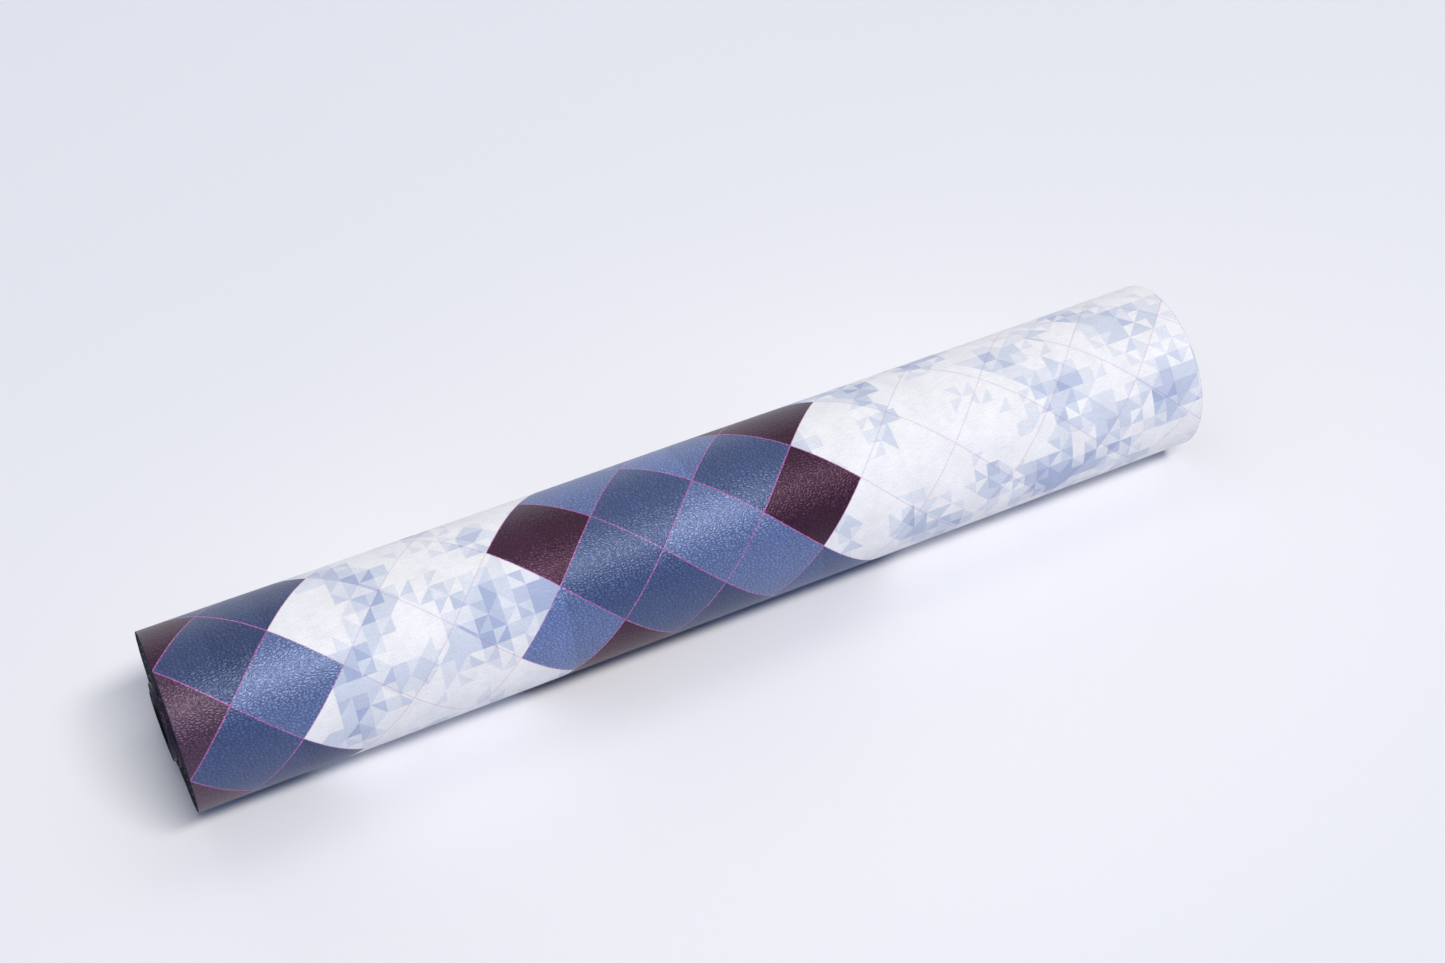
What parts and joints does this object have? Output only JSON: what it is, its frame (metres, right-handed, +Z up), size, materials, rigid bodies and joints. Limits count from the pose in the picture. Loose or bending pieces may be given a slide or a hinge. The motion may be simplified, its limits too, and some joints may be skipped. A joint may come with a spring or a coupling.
{
  "type": "yoga mat",
  "caption": "Rolled yoga mat with a black rubber base and a printed diamond-pattern top, whose outermost turn opens and lies flat.",
  "frame": {"origin": "on the floor, under the middle of the roll", "axes": "+X along the roll's axis towards its recessed end, +Z up, and the outermost turn opens towards -Y"},
  "size_m": [0.6136, 0.1002, 0.0978],
  "materials": {
    "rubber_base": "matte black natural rubber foam, cut edges",
    "printed_top": "printed microfibre with a fine leather-grain emboss and a satin sheen"
  },
  "bodies": {
    "roll": {"rolled_base": "rubber_base", "rolled_top": "printed_top"},
    "panel_1": {"outer_turn_base_1": "rubber_base", "outer_turn_top_1": "printed_top"},
    "panel_2": {"outer_turn_base_2": "rubber_base", "outer_turn_top_2": "printed_top"},
    "panel_3": {"outer_turn_base_3": "rubber_base", "outer_turn_top_3": "printed_top"},
    "panel_4": {"outer_turn_base_4": "rubber_base", "outer_turn_top_4": "printed_top"},
    "panel_5": {"outer_turn_base_5": "rubber_base", "outer_turn_top_5": "printed_top"},
    "panel_6": {"outer_turn_base_6": "rubber_base", "outer_turn_top_6": "printed_top"},
    "panel_7": {"outer_turn_base_7": "rubber_base", "outer_turn_top_7": "printed_top"},
    "panel_8": {"outer_turn_base_8": "rubber_base", "outer_turn_top_8": "printed_top"},
    "panel_9": {"outer_turn_base_9": "rubber_base", "outer_turn_top_9": "printed_top"}
  },
  "joints": [
    {"name": "outer_turn_opens", "type": "hinge", "parent": "roll", "child": "panel_1", "pos_m": [0.0018, -0.01346, 0.00109], "axis": [1, 0, 0], "range_deg": [0, 29]},
    {"name": "outer_turn_bend_2", "type": "hinge", "parent": "panel_1", "child": "panel_2", "pos_m": [0.0018, -0.03533, 0.01335], "axis": [1, 0, 0], "range_deg": [0, 29]},
    {"name": "outer_turn_bend_3", "type": "hinge", "parent": "panel_2", "child": "panel_3", "pos_m": [0.0018, -0.04821, 0.03504], "axis": [1, 0, 0], "range_deg": [0, 29]},
    {"name": "outer_turn_bend_4", "type": "hinge", "parent": "panel_3", "child": "panel_4", "pos_m": [0.0018, -0.04852, 0.06044], "axis": [1, 0, 0], "range_deg": [0, 29]},
    {"name": "outer_turn_bend_5", "type": "hinge", "parent": "panel_4", "child": "panel_5", "pos_m": [0.0018, -0.03601, 0.08274], "axis": [1, 0, 0], "range_deg": [0, 29]},
    {"name": "outer_turn_bend_6", "type": "hinge", "parent": "panel_5", "child": "panel_6", "pos_m": [0.0018, -0.01388, 0.09588], "axis": [1, 0, 0], "range_deg": [0, 29]},
    {"name": "outer_turn_bend_7", "type": "hinge", "parent": "panel_6", "child": "panel_7", "pos_m": [0.0018, 0.01202, 0.09619], "axis": [1, 0, 0], "range_deg": [0, 29]},
    {"name": "outer_turn_bend_8", "type": "hinge", "parent": "panel_7", "child": "panel_8", "pos_m": [0.0018, 0.03476, 0.08342], "axis": [1, 0, 0], "range_deg": [0, 29]},
    {"name": "outer_turn_bend_9", "type": "hinge", "parent": "panel_8", "child": "panel_9", "pos_m": [0.0018, 0.04815, 0.06085], "axis": [1, 0, 0], "range_deg": [0, 29]}
  ],
  "couplings": [
    {"joint": "outer_turn_bend_2", "follows": "outer_turn_opens", "ratio": 1},
    {"joint": "outer_turn_bend_3", "follows": "outer_turn_opens", "ratio": 1},
    {"joint": "outer_turn_bend_4", "follows": "outer_turn_opens", "ratio": 1},
    {"joint": "outer_turn_bend_5", "follows": "outer_turn_opens", "ratio": 1},
    {"joint": "outer_turn_bend_6", "follows": "outer_turn_opens", "ratio": 1},
    {"joint": "outer_turn_bend_7", "follows": "outer_turn_opens", "ratio": 1},
    {"joint": "outer_turn_bend_8", "follows": "outer_turn_opens", "ratio": 1},
    {"joint": "outer_turn_bend_9", "follows": "outer_turn_opens", "ratio": 1}
  ]
}
